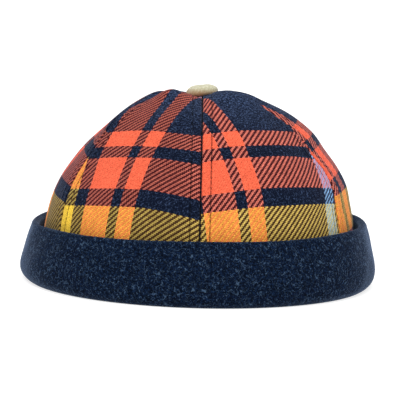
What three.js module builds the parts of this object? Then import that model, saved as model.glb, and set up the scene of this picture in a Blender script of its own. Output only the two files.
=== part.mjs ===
import * as THREE from "three";

// A docker cap: six cloth gores, a turned-up cuff and a covered button.
// Millimetres, +Z up, front towards -Y, wearer's left towards +X.
// The origin is on the surface that the cap stands on, under the middle of the crown.

// Crown
const crownHalfWidth = 87.9;      // middle to side, where the crown comes out of the cuff
const crownHeight = 108.8;        // surface to the highest ring of the crown
const depthRatio = 1.08;          // front to back over side to side, of crown and cuff alike
const goreCount = 6;
const tipRadius = 2.6;            // the gores stop here, round the button's shank
const crownFootHeight = 5.2;      // lower edge of the gores, inside the cuff's fold
const gorePuff = 1.2;             // above the cuff a gore stands this much prouder in its middle

// Cloth of the crown and its seams
const clothThickness = 1.9;
const seamAllowance = 6.5;        // width turned in along a seam
const foldRadius = 1.3;           // rounding of the turned edge
const seamDepth = 0.9;            // depth of the valley at a seam
const seamGap = 0.3;              // clearance between neighbouring gores
const edgeShareAtTip = 0.4;       // near the tip the doubled edge takes this share of the width

// Cuff
const cuffHeight = 34.8;          // surface to the crest of the rim
const cuffThickness = 4.7;        // doubled band of the outer leg
const rimStandOff = 3.85;         // open space between the crown and the rim, at the side
const cuffFlare = 5.45;           // the widest ring stands this much further out than the rim
const cuffInnerThickness = 2.1;   // inner leg, behind the crown
const cuffInnerHeight = 16.5;     // surface to the top of the inner leg
const rimRise = 1.6;              // the rim is this much higher at +X and lower at -X
const pocketCorner = 1.0;         // the pocket narrows this much from the widest ring to its floor
const cuffClearance = 0.3;        // between the gores and what they stand in

// Button
const buttonRadius = 9.3;
const buttonThickness = 5.2;
const buttonSeatGap = 0.3;        // between the button and the gores under it
const shankClearance = 0.3;       // between the shank and the tips of the gores
const shankReach = 0.8;           // how far the shank comes out of the gores, inside the cap
const topTilt = THREE.MathUtils.degToRad(4.5);   // the button and its seat are lower at -X
const tiltInnerRadius = 10;       // the seat is tilted whole inside this radius
const tiltOuterRadius = 26;       // and not at all outside this one

// How finely the surfaces are divided
const goreRows = 19;
const goreMiddleColumns = 7;
const cuffColumns = 72;
const buttonSides = 28;

// Outline of the crown, from the lower edge of the gores to their tips.
// height is a share of crownHeight, radius of crownHalfWidth; fuller is how much further
// the outline stands towards +X on both sides, also a share of crownHalfWidth.
const crownOutline = [
  { height: 0.184, radius: 1.026, fuller: 0.002 },
  { height: 0.324, radius: 1.000, fuller: 0.003 },
  { height: 0.425, radius: 0.970, fuller: 0.003 },
  { height: 0.527, radius: 0.931, fuller: 0.017 },
  { height: 0.618, radius: 0.866, fuller: 0.025 },
  { height: 0.709, radius: 0.782, fuller: 0.027 },
  { height: 0.800, radius: 0.683, fuller: 0.043 },
  { height: 0.891, radius: 0.543, fuller: 0.034 },
  { height: 0.956, radius: 0.398, fuller: 0.008 },
  { height: 0.989, radius: 0.294, fuller: -0.003 },
  { height: 1.000, radius: 0.193, fuller: 0 },
  { height: 0.988, radius: 0.106, fuller: 0 },
];
const crownFootFlare = 1.047;     // radius at the lower edge, a share of crownHalfWidth
const crownTipHeight = 0.982;     // height of the tips, a share of crownHeight

// Outer face of the cuff from the rim down to the fold. height is a share of cuffHeight,
// flare is a share of the way from the rim's outer edge to the widest ring.
const cuffOutline = [
  { height: 0.780, flare: 0.29 },
  { height: 0.520, flare: 0.68 },
  { height: 0.253, flare: 1.00 },
  { height: 0.112, flare: 0.85 },
  { height: 0.032, flare: 0.42 },
];
const standOuterFlare = 0.10;     // the flat strip it stands on begins at this share of the flare
const standWidth = 4.4;           // width of that strip

// Side of the fold towards the head, from the strip up. height is a share of cuffHeight,
// inset is a share of the way from the strip's inner edge to the inner leg.
const foldOutline = [
  { height: 0.026, inset: 0.55 },
  { height: 0.100, inset: 0.90 },
  { height: 0.190, inset: 1.00 },
];

// The button, from the edge of its flat underside to the top of its dome. radius is a share of
// buttonRadius, height of buttonThickness.
const buttonOutline = [
  { radius: 0.84, height: 0.00 },
  { radius: 0.97, height: 0.15 },
  { radius: 1.00, height: 0.38 },
  { radius: 0.93, height: 0.68 },
  { radius: 0.74, height: 0.87 },
  { radius: 0.42, height: 0.98 },
  { radius: 0.00, height: 1.00 },
];

// Radii of the cuff at the side: crest and outer side of the rim, and the widest ring
const rimRadius = crownHalfWidth + rimStandOff + cuffThickness / 2;
const rimOuterRadius = rimRadius + cuffThickness / 2;
const cuffHalfWidth = rimOuterRadius + cuffFlare;

// The crown's outline as one curve through (radius, height, fuller)
const outlineCurve = new THREE.CatmullRomCurve3([
  new THREE.Vector3(crownFootFlare * crownHalfWidth, crownFootHeight, 0),
  ...crownOutline.map(({ height, radius, fuller }) => new THREE.Vector3(
    radius * crownHalfWidth, height * crownHeight, fuller * crownHalfWidth)),
  new THREE.Vector3(tipRadius, crownTipHeight * crownHeight, 0),
], false, "centripetal");

// Azimuth from the front for a share of the way round, at equal lengths along the ellipse
function makeAzimuths(steps) {
  const lengths = [0];
  for (let i = 1; i <= steps; i++) {
    const middle = (i - 0.5) / steps * 2 * Math.PI;
    const speed = Math.hypot(Math.cos(middle), depthRatio * Math.sin(middle));
    lengths.push(lengths[i - 1] + speed / steps * 2 * Math.PI);
  }
  return { steps, lengths, perimeter: lengths[steps] };
}

const ellipse = makeAzimuths(1440);

function azimuthAt(share) {
  const turns = Math.floor(share);
  const wanted = (share - turns) * ellipse.perimeter;
  let i = 1;
  while (i < ellipse.steps && ellipse.lengths[i] < wanted) i++;
  const part = (wanted - ellipse.lengths[i - 1]) / (ellipse.lengths[i] - ellipse.lengths[i - 1]);
  return (turns + (i - 1 + part) / ellipse.steps) * 2 * Math.PI;
}

// The seat of the button leans towards -X, and the lean fades out over the crown
function seatLean(x, y) {
  const fade = THREE.MathUtils.smoothstep(Math.hypot(x, y), tiltInnerRadius, tiltOuterRadius);
  return x * Math.tan(topTilt) * (1 - fade);
}

// Point of the crown's outer surface: around is the share of the way round from the front,
// along the share of the outline's length from the lower edge, out a distance along the radius
function crownPoint(around, along, out = 0) {
  const { x: radius, y: height, z: fuller } = outlineCurve.getPointAt(along);
  const azimuth = azimuthAt(around);
  const sine = Math.sin(azimuth);
  const x = (radius + out) * sine + fuller * sine * sine;
  const y = -depthRatio * (radius + out) * Math.cos(azimuth);
  return new THREE.Vector3(x, y, height + seatLean(x, y));
}

// Outward normal of the crown, from its slopes round and along
function crownNormal(around, along) {
  const step = 1e-3;
  const low = Math.max(0, along - step);
  const high = Math.min(1, along + step);
  const across = crownPoint(around + step, along).sub(crownPoint(around - step, along));
  const up = crownPoint(around, high).sub(crownPoint(around, low));
  return across.cross(up).normalize();
}

// Closed body between an outer and an inner grid of points with the same rows and columns.
// Rows run upwards and columns anticlockwise seen from above. A ring closes on itself.
function shellGeometry(outer, inner) {
  const rows = outer.length;
  const columns = outer[0].length;
  const points = [...outer.flat(), ...inner.flat()];
  const out = (row, column) => row * columns + column;
  const inn = (row, column) => rows * columns + row * columns + column;
  const index = [];
  const quad = (a, b, c, d) => index.push(a, b, c, a, c, d);
  for (let row = 0; row + 1 < rows; row++) {
    for (let column = 0; column + 1 < columns; column++) {
      quad(out(row, column), out(row, column + 1), out(row + 1, column + 1), out(row + 1, column));
      quad(inn(row, column), inn(row + 1, column), inn(row + 1, column + 1), inn(row, column + 1));
    }
    const last = columns - 1;
    quad(out(row, 0), out(row + 1, 0), inn(row + 1, 0), inn(row, 0));
    quad(out(row, last), inn(row, last), inn(row + 1, last), out(row + 1, last));
  }
  for (let column = 0; column + 1 < columns; column++) {
    const top = rows - 1;
    quad(out(0, column), inn(0, column), inn(0, column + 1), out(0, column + 1));
    quad(out(top, column), out(top, column + 1), inn(top, column + 1), inn(top, column));
  }
  return indexedGeometry(points, index);
}

function indexedGeometry(points, index) {
  const geometry = new THREE.BufferGeometry();
  geometry.setFromPoints(points);
  geometry.setIndex(index);
  geometry.computeVertexNormals();
  return geometry;
}

// Columns of a gore, as shares of its width with their distance from its nearer edge. The turned
// edge is rounded and the allowance ends in a step. Towards the tip they shrink with the gore.
function goreColumns(width) {
  const step = clothThickness / 4;
  const edge = [0, foldRadius / 3, foldRadius, seamAllowance, seamAllowance + step];
  const shrink = Math.min(1, width * edgeShareAtTip / (seamAllowance + step));
  const left = edge.map((distance) => ({ share: distance * shrink / width, distance }));
  const middle = [];
  const first = left[left.length - 1].share;
  for (let i = 1; i < goreMiddleColumns; i++) {
    middle.push({ share: first + (1 - 2 * first) * i / goreMiddleColumns, distance: Infinity });
  }
  const right = left.map(({ share, distance }) => ({ share: 1 - share, distance })).reverse();
  return [...left, ...middle, ...right];
}

// One gore: a curved wall with rounded edges, twice as thick where the allowance lies inside
function goreGeometry(number) {
  const outer = [];
  const inner = [];
  for (let row = 0; row <= goreRows; row++) {
    const along = row / goreRows;
    const { x: radius, y: height } = outlineCurve.getPointAt(along);
    const free = THREE.MathUtils.smoothstep(height, cuffInnerHeight, 2 * cuffHeight);
    const puff = gorePuff * free * Math.min(1, radius / crownHalfWidth);
    const fullWidth = ellipse.perimeter * radius / goreCount;
    const width = fullWidth - seamGap;
    const outerRow = [];
    const innerRow = [];
    for (const { share, distance } of goreColumns(width)) {
      const across = (seamGap / 2 + share * width) / fullWidth;
      const around = (number + across) / goreCount;
      const edgeShare = Math.min(1, distance / foldRadius);
      const drop = seamDepth * (1 - Math.sin(edgeShare * Math.PI / 2));
      const flat = puff * (1 - Math.sin(across * Math.PI));
      const layers = distance <= seamAllowance ? 2 : 1;
      const normal = crownNormal(around, along);
      const face = crownPoint(around, along, -flat);
      outerRow.push(face.clone().addScaledVector(normal, -drop));
      innerRow.push(face.clone().addScaledVector(normal, -layers * clothThickness));
    }
    outer.push(outerRow);
    inner.push(innerRow);
  }
  return shellGeometry(outer, inner);
}

// The outline's point between two shares of its length where a test of the point changes
function outlineWhere(below, low, high) {
  for (let i = 0; i < 40; i++) {
    const middle = (low + high) / 2;
    if (below(outlineCurve.getPointAt(middle))) low = middle;
    else high = middle;
  }
  return outlineCurve.getPointAt(low);
}

// Radius of the crown's outer surface at a height inside the cuff
function crownRadiusAt(height) {
  return outlineWhere((point) => point.y < height, 0, 0.5).x;
}

// Height of the crown's outer surface at a radius under the button
function crownHeightAt(radius) {
  return outlineWhere((point) => point.x > radius, 0.5, 1).y;
}

// Bottom of the pocket that holds the gores, just under the lowest corner of their doubled edges
const pocketFloor = crownFootHeight - 2 * clothThickness * crownNormal(0, 0).z - cuffClearance;

// Section of the cuff as a closed loop of (radius, height), anticlockwise
function cuffSection() {
  const half = cuffThickness / 2;
  const section = [];
  const flareAt = (flare) => rimOuterRadius + flare * cuffFlare;
  const gapped = (height) => crownRadiusAt(height) - 2 * clothThickness - cuffClearance;

  // rim, from its inner to its outer side
  const rimSteps = 4;
  const rimHeight = cuffHeight - half;
  const rim = [];
  for (let i = 0; i <= rimSteps; i++) {
    const angle = i / rimSteps * Math.PI;
    rim.push([rimRadius + half * Math.cos(angle), rimHeight + half * Math.sin(angle)]);
  }

  // outer face, from the fold up to the rim
  const standOuter = flareAt(standOuterFlare);
  section.push([standOuter, 0]);
  for (const { height, flare } of [...cuffOutline].reverse()) {
    section.push([flareAt(flare), height * cuffHeight]);
  }
  section.push(...rim);

  // inner side of the outer leg, down to the bottom of the pocket that holds the gores
  const widest = cuffOutline.find(({ flare }) => flare === 1);
  section.push([cuffHalfWidth - cuffThickness, widest.height * cuffHeight]);
  section.push([cuffHalfWidth - cuffThickness - pocketCorner, pocketFloor]);

  // inner leg, up behind the gores and down again on the side of the head
  const legTop = cuffInnerHeight;
  const legShoulder = legTop - cuffInnerThickness / 3;
  section.push([gapped(pocketFloor), pocketFloor]);
  section.push([gapped(legTop), legShoulder]);
  section.push([gapped(legTop) - cuffInnerThickness / 2, legTop]);
  section.push([gapped(legTop) - cuffInnerThickness, legShoulder]);
  const standInner = standOuter - standWidth;
  const legInner = gapped(pocketFloor) - cuffInnerThickness;
  for (const { height, inset } of [...foldOutline].reverse()) {
    section.push([standInner + inset * (legInner - standInner), height * cuffHeight]);
  }
  section.push([standInner, 0]);
  return section;
}

// The cuff: its section swept round the ellipse, the rim rising towards +X
function cuffGeometry() {
  const section = cuffSection();
  const points = [];
  const index = [];
  const count = section.length;
  for (let column = 0; column < cuffColumns; column++) {
    const azimuth = azimuthAt(column / cuffColumns);
    for (const [radius, height] of section) {
      const free = Math.max(0, (height - pocketFloor) / (cuffHeight - pocketFloor));
      const rise = rimRise * Math.sin(azimuth) * free;
      points.push(new THREE.Vector3(
        radius * Math.sin(azimuth), -depthRatio * radius * Math.cos(azimuth), height + rise));
    }
  }
  for (let column = 0; column < cuffColumns; column++) {
    const next = (column + 1) % cuffColumns;
    for (let i = 0; i < count; i++) {
      const j = (i + 1) % count;
      const a = column * count + i;
      const b = next * count + i;
      const c = next * count + j;
      const d = column * count + j;
      index.push(a, b, c, a, c, d);
    }
  }
  return indexedGeometry(points, index);
}

// The button's underside lies on the rim of the dimple in the crown
const buttonSeatRadius = buttonOutline[0].radius * buttonRadius;
const buttonHeight = crownHeightAt(buttonSeatRadius) + buttonSeatGap;

// The button: a dome over a rounded edge, a flat underside and the shank, turned round its axis
function buttonGeometry() {
  const shankRadius = tipRadius - shankClearance;
  const insideHeight = crownTipHeight * crownHeight - 2 * clothThickness;
  const shankDepth = buttonHeight - insideHeight + shankReach;
  const profile = [
    new THREE.Vector2(0, -shankDepth),
    new THREE.Vector2(shankRadius, -shankDepth),
    new THREE.Vector2(shankRadius, 0),
    ...buttonOutline.map(({ radius, height }) => new THREE.Vector2(
      radius * buttonRadius, height * buttonThickness)),
  ];
  const geometry = new THREE.LatheGeometry(profile, buttonSides);
  return geometry.rotateX(Math.PI / 2);
}

function piece(name, geometry, color, roughness) {
  const material = new THREE.MeshStandardMaterial({ color, roughness, metalness: 0 });
  const mesh = new THREE.Mesh(geometry, material);
  mesh.name = name;
  return mesh;
}

const group = new THREE.Group();

for (let i = 0; i < goreCount; i++) {
  const color = i % 2 === 0 ? "#d8593f" : "#e08a3a";
  group.add(piece(`crown_gore_${i + 1}`, goreGeometry(i), color, 0.92));
}

group.add(piece("cuff", cuffGeometry(), "#26354f", 0.95));

const button = piece("top_button", buttonGeometry(), "#c5bf97", 0.95);
button.position.z = buttonHeight;
button.rotation.y = -topTilt;
group.add(button);

export default group;
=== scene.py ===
"""A docker cap of tartan wool with a turned-up navy cuff and a covered button.

Shapes are worked out in millimetres and put into metres when a mesh is made. The front of the
cap is towards -Y. Cloth coordinates are millimetres across the yarns of the warp and across
those of the weft.
"""

import math

import bmesh
import bpy
import numpy as np
from mathutils import Matrix, Vector


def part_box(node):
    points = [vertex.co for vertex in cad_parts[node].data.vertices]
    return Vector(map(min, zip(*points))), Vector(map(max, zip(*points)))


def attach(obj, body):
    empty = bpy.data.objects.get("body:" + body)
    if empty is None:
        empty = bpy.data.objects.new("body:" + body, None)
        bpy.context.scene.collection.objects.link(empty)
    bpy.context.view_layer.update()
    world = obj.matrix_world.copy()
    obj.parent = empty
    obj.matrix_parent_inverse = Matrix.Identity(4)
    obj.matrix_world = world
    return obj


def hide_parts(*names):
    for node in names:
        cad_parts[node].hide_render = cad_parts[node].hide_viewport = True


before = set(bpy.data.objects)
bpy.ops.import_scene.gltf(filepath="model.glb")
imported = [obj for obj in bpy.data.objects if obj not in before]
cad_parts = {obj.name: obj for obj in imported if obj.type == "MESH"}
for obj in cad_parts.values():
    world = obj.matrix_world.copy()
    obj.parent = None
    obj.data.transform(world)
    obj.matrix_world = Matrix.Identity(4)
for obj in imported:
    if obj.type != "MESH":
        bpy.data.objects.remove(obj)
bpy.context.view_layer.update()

MM = 0.001
SCENE = bpy.context.scene
BODY = "root"

# Sizes of the cap, in millimetres. The cuff's and the button's reach are the solids' own
CUFF_LOW, CUFF_HIGH = (np.array(corner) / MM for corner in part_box("cuff"))
BUTTON_LOW, BUTTON_HIGH = (np.array(corner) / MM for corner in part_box("top_button"))
CUFF_HALF_WIDTH = (CUFF_HIGH[0] - CUFF_LOW[0]) / 2
DEPTH_RATIO = (CUFF_HIGH[1] - CUFF_LOW[1]) / (CUFF_HIGH[0] - CUFF_LOW[0])
CROWN_HALF_WIDTH = 87.9
CROWN_HEIGHT = 108.8
CROWN_FOOT_HEIGHT = 5.2
CROWN_FOOT_FLARE = 1.047
CROWN_TIP_HEIGHT = 0.982
TIP_RADIUS = 2.6
GORES = 6
GORE_PUFF = 1.2

# The top is tilted as far as the first distance from the middle and level again at the second
TOP_TILT = math.radians(4.5)
TILT_RANGE = (10.0, 26.0)

# Cloth and seams. The allowance is folded back inside and shows as a low band beside the seam
CLOTH = 1.9
ALLOWANCE = 6.9
ALLOWANCE_RISE = 0.35
ALLOWANCE_FADE = (ALLOWANCE - 0.8, ALLOWANCE + 1.6)
SEAM_ROUND = 1.0
SEAM_DEPTH = 2.4
SEAM_GAP = 0.4
STITCH_OFFSET = 5.3
STITCH_GROOVE = 0.5
STITCH_GROOVE_WIDTH = 0.45
PUCKER = 0.10
PUCKER_REACH = 6.0
PUCKER_LENGTH = 7.3

# Rows of points up a gore, columns in its middle, and distances from its edge of the columns
# beside it, which close up where they would take more than a share of the width
GORE_ROWS = 120
GORE_MIDDLE = 34
GORE_EDGE = np.array((0.0, 0.06, 0.2, 0.42, 0.7, 1.0, 1.3, 1.8, 2.5, 3.4, 4.3, 4.7, 5.0, 5.3,
                      5.6, 5.9, 6.3, 6.9, 7.4, 8.0, 8.8))
GORE_EDGE_SHARE = 0.44

# Sewing: topstitching beside the seams and the overcast thread deep in them, which also stands in
# for painted shadow in the seams, between two shares of the way from the crown's foot to its tip
TOPSTITCH = {"Pitch": 3.1, "Length": 2.6, "Thickness": 0.36}
TOPSTITCH_RISE = 0.43
OVERCAST_AND_SHADOW = {"Pitch": 1.6, "Length": 3.0, "Thickness": 0.7}
OVERCAST_AND_SHADOW_DEPTH = 1.7
SEWN = (0.10, 0.945)
SEWN_POINTS = 180

# Uneven places of the cloth: the seed, the lengths of the waves and their size. Each gore has
# waves of its own, whose seed is the first one and its number. The crown is smooth at the
# button, up to a first distance from the middle, and wholly uneven from a second
CROWN_WAVES = (3, (95, 70, 60), 0.30)
GORE_WAVES = (11, (70, 52, 40, 31, 24), 0.22)
CUFF_SWAY = (5, (150, 110, 80, 62), 0.8)
CUFF_BOB = (8, (170, 120, 90), 0.55)
CUFF_WAVES = (21, (34, 27, 21, 16), 0.16)
BUTTON_LUMPS = (31, (14, 9, 6.5, 5), 0.16)
SMOOTH_ROUND_BUTTON = (8.0, 22.0)

# Cuff: a doubled band with an outer and an inner leg and a pocket between them for the crown
CUFF_HEIGHT = 34.8
CUFF_THICKNESS = 4.7
CUFF_FLARE = 5.45
CUFF_INNER_THICKNESS = 2.1
CUFF_INNER_HEIGHT = 16.5
CUFF_CLEARANCE = 0.3
RIM_RISE = 2.2
CUFF_LEAN = 1.0
POCKET_CORNER = 1.0
STAND_OUTER_FLARE = 0.10
STAND_WIDTH = 4.4

# Only the outer leg of the cuff waves and leans, and only above these heights. The waves are
# those of a ring of one radius, and fade out inside the leg
CUFF_WAVE_RADIUS = 95
CUFF_WAVE_HEIGHTS = (1.5, 7.0)
LEAN_HEIGHTS = (4.0, 14.0)
LEG_MARGIN = 1.5
LEG_FADE = 2.0

# Columns of points round the cuff, and the groove of its joining seam at the back with the
# distances of the columns beside it
CUFF_COLUMNS = 420
CUFF_SEAM = np.array((0.0, 0.25, 0.5, 0.85, 1.3, 2.0))
CUFF_SEAM_MARGIN = 0.6
CUFF_SEAM_DEPTH = 0.9
CUFF_SEAM_WIDTH = 0.75

# Button, and the heights between which its lumps set in
BUTTON_TILT = math.radians(8.5)
BUTTON_THICKNESS = 6.3
BUTTON_SIDES = 96
BUTTON_LUMP_HEIGHTS = (0.4, 2.0)
SHANK_RADIUS = 2.3
SHANK_DEPTH = 4.8

# Outline of the crown: height is a share of the crown's height, radius of its half width, and
# fuller is how much further both sides stand towards +X, a share of the half width
CROWN_OUTLINE = (
    # height, radius, fuller
    (0.184, 1.026, 0.002),
    (0.324, 1.000, 0.003),
    (0.425, 0.970, 0.003),
    (0.527, 0.931, 0.017),
    (0.618, 0.866, 0.025),
    (0.709, 0.782, 0.027),
    (0.800, 0.683, 0.043),
    (0.891, 0.543, 0.034),
    (0.956, 0.398, 0.008),
    (0.989, 0.294, -0.003),
    (1.000, 0.193, 0.000),
    (0.988, 0.106, 0.000),
)

# Outer face of the cuff: height is a share of its height, flare of the way from the rim's outer
# side to the widest ring
CUFF_OUTLINE = (
    # height, flare
    (0.780, 0.29),
    (0.520, 0.68),
    (0.253, 1.00),
    (0.112, 0.85),
    (0.032, 0.42),
)

# Side of the fold towards the head: inset is a share of the way to the inner leg
FOLD_OUTLINE = (
    # height, inset
    (0.026, 0.55),
    (0.100, 0.90),
    (0.190, 1.00),
)

# Face of the button: shares of its radius and of its thickness
BUTTON_OUTLINE = (
    # radius, height
    (0.84, 0.0),
    (0.96, 0.10),
    (1.0, 0.28),
    (0.96, 0.50),
    (0.84, 0.71),
    (0.62, 0.88),
    (0.32, 0.975),
    (0.0, 1.0),
)

# The tartan's thread count, read from left to right for the warp and upwards for the weft
SETT = (
    # colour, warp threads, weft threads
    ("yellow", 24, 24),
    ("navy", 11, 11),
    ("red", 22, 21),
    ("navy", 7, 8),
    ("red", 11, 11),
    ("navy", 56, 56),
    ("light_blue", 12, 12),
    ("navy", 15, 15),
)

# From one yarn of the warp to the next, as in a heavy wool twill, how much further apart those
# of the weft lie, and the threads after which the twill repeats
THREAD_PITCH = 0.85
WEFT_STRETCH = 1.11
TWILL_REPEAT = 4

# Where each gore was cut from the cloth: millimetres across and along at its middle, the
# degrees that its weft and its warp are turned against it, and how much wider it was drawn on
# the block. Front right gore first and on round towards +X
CUTS = (
    # across, along, weft turn, warp turn, drawn
    (74.3, 131.6, -0.2, -0.8, 0.0),
    (81.0, 126.5, -2.0, -2.0, 0.0),
    (84.0, 121.0, 0.0, 0.0, 0.0),
    (80.0, 129.8, 0.0, 0.0, 0.0),
    (51.5, 134.0, 1.0, -6.0, 0.0),
    (54.5, 134.4, -2.7, 1.3, 0.047),
)

# The length down round which the warp is turned, and the share of a flat gore's dip that the
# weft keeps on the round crown
CUT_MIDDLE = 90.0
WEFT_DIP = 0.62

# How much the cloth is gathered towards the top
TIP_GATHER = 0.20
TIP_GATHER_RANGE = (10.0, 40.0)

# The cloth of both gores at the ridge is eased across, most at a length down and more from a
# low to a high offset towards one side, all in millimetres
EASED = (
    # gore, side, across, down, reach, low, high
    (5, -1, 2.6, 80.0, 15.0, 8.0, 34.0),
    (4, 1, 5.0, 28.0, 26.0, -12.0, 6.0),
)

# Beside the front seam the cloth sags towards the cuff, more and more between two lengths down
# and between two offsets from the gore's middle
SAGS = (
    # gore, side, most
    (5, 1, 5.4),
    (0, -1, 2.4),
)
SAG_DOWN = (62.0, 125.0)
SAG_OFFSETS = (12.0, 46.0)
SAG_GROWTH = 1.3

# The seam left of the front stands out in a ridge: millimetres outwards, by the length of
# cloth down from the top
RIDGE_SEAM = 5
RIDGE = (
    # down, out
    (6.0, 0.0),
    (18.0, 4.0),
    (32.0, 6.0),
    (52.0, 7.0),
    (66.0, 4.6),
    (78.0, 2.5),
    (97.0, 2.3),
    (117.0, 1.2),
    (130.0, 0.0),
)

# The seams right and left of the front wander towards the back: millimetres further round the
# crown from the front towards +X, by the length of cloth down from the top
WANDERS = {
    # seam: (down, round) and on
    1: ((68.0, 0.0), (78.0, 2.0), (88.0, 5.2), (98.0, 5.4), (120.0, 3.9), (140.0, 0.0)),
    5: ((6.0, 0.0), (18.0, -3.2), (30.0, -4.4), (42.0, -3.4), (54.0, -1.0), (64.0, 0.0)),
}

# Soft swells and hollows of the crown, in millimetres
SWELLS = (
    # x, y, height, reach, reach up, outwards, up
    (-18.5, -21.0, 105.0, 8.0, 20.0, 0.0, 3.7),
    (22.0, -20.0, 105.0, 13.5, 20.0, 0.0, 4.0),
    (-8.0, -10.0, 105.0, 8.0, 20.0, 0.0, -2.6),
    (0.5, 18.0, 106.0, 12.5, 20.0, 0.0, -3.4),
    (-25.0, -3.0, 105.0, 9.0, 20.0, 0.0, 1.0),
    (-72.0, 0.0, 82.0, 30.0, 13.0, -1.4, 0.0),
    (84.0, 0.0, 44.0, 30.0, 12.0, 0.9, 0.0),
)

# How far the seams are drawn down round the button: it sets in and fades out again between
# these lengths down from the tip
GATHER = 3.0
GATHER_RANGE = (5.0, 15.0, 24.0, 60.0)
GATHER_WIDTH = 5.5

# Dyes of the yarns
YARNS = {
    "red": "#E76346",
    "yellow": "#E8BF42",
    "navy": "#0B1223",
    "light_blue": "#84B4EA",
}

# Where two yarns cross: the brightness from which a yarn counts as bright, and how far bright
# yarns mingle, a bright one shows through a dark one over it in painted shade, and dark fibres and
# painted shade darken a bright one
BRIGHT_YARN = 0.07
MINGLE = 0.26
SHINE_THROUGH_IN_SHADE = 0.58
DARK_HAZE_AND_SHADE = 0.38

# Painted shade on the left half of the cap: the crossings of navy and a bright yarn are darkened
# most up to the first x, not at all from the second, and by the share at most
LEFT_HALF_SHADE = (-12.0, 2.0, 0.34)

# Painted light at the top of the crown: from the first height to the second more of the pale
# fibres shows, and how much more
TOP_LIGHT_SPECKS = (86.0, 106.0, 0.07)

# Painted reflection of the crown's red and painted shade on the button: its cloth is browner
# below the first distance under its top, and clear of it above the second
BUTTON_PAINTED_REFLECTION = (5.5, 1.5)

# Grain of the cloths, in patches to a millimetre. Wool fibres are too fine to show one by one,
# so they are drawn as tufts and curls of about a millimetre
STRAY_GRAIN = 1.3 / MM
FIBRE_GRAIN = 1.0 / MM
PALE_GRAIN = 0.95 / MM
FELT_GRAIN = 1.0 / MM
BLOTCH_GRAIN = 0.9 / MM
HAIRS = (
    # grain, shift of the pattern
    (0.38 / MM, 0.0),
    (0.50 / MM, 3.1),
    (0.64 / MM, 7.7),
)

# The button's short fuzz is finer, and uneven dyeing of the tartan lies in patches of 8 mm
FUZZ_GRAIN = 3.2 / MM
DRIFT_GRAIN = 0.12 / MM

# Light: degrees round from the front and up, strength and degrees of spread
LIGHTS = {
    "key": (-30, 60, 1.6, 50),
    "fill": (45, 55, 0.9, 60),
    "back": (180, 55, 0.5, 40),
}
FLOOR_REACH = 40000.0

# The photograph's view, measured from the cap's outline, in metres, degrees and pixels
CAMERA_DISTANCE = 1.248
CAMERA_ELEVATION = 5.6
CAMERA_AZIMUTH = -0.5
CAMERA_ROLL = 1.62
CAMERA_TARGET_HEIGHT = 0.0624
FOCAL_PIXELS = 2170.0
FRAME_PIXELS = 400
TARGET_PIXEL = (200.0, 171.9)
SENSOR = 36.0


# Colours and node trees

def linear(hex_colour):
    """An sRGB hex colour as linear red, green and blue, opaque."""
    parts = [int(hex_colour[i:i + 2], 16) / 255 for i in (1, 3, 5)]
    return [p / 12.92 if p <= 0.04045 else ((p + 0.055) / 1.055) ** 2.4 for p in parts] + [1.0]


def grey(value):
    """A linear grey, opaque. Values above 1 brighten what they are multiplied with."""
    return value, value, value, 1.0


def add(tree, kind, inputs=None, **settings):
    """Adds a node. inputs are values, nodes or sockets by the name or number of the input."""
    made = tree.nodes.new(kind)
    for name, value in settings.items():
        setattr(made, name, value)
    for name, value in (inputs or {}).items():
        if isinstance(value, bpy.types.Node):
            value = value.outputs[0]
        if isinstance(value, bpy.types.NodeSocket):
            tree.links.new(value, made.inputs[name])
        else:
            made.inputs[name].default_value = value
    return made


def set_ramp(ramp_node, stops, interpolation="LINEAR"):
    """Gives a colour ramp its (position, linear colour) stops."""
    ramp = ramp_node.color_ramp
    ramp.interpolation = interpolation
    while len(ramp.elements) > 1:
        ramp.elements.remove(ramp.elements[-1])
    ramp.elements[0].position, ramp.elements[0].color = stops[0]
    for position, colour in stops[1:]:
        element = ramp.elements.new(position)
        element.color = colour
    return ramp_node


def new_material(name, surface):
    """A material with a Principled shader. surface holds the shader's values that are the same
    all over."""
    material = bpy.data.materials.new(name)
    material.use_nodes = True
    tree = material.node_tree
    tree.nodes.clear()
    shader = add(tree, "ShaderNodeBsdfPrincipled", surface)
    add(tree, "ShaderNodeOutputMaterial", {"Surface": shader})
    return material, tree, shader


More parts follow.
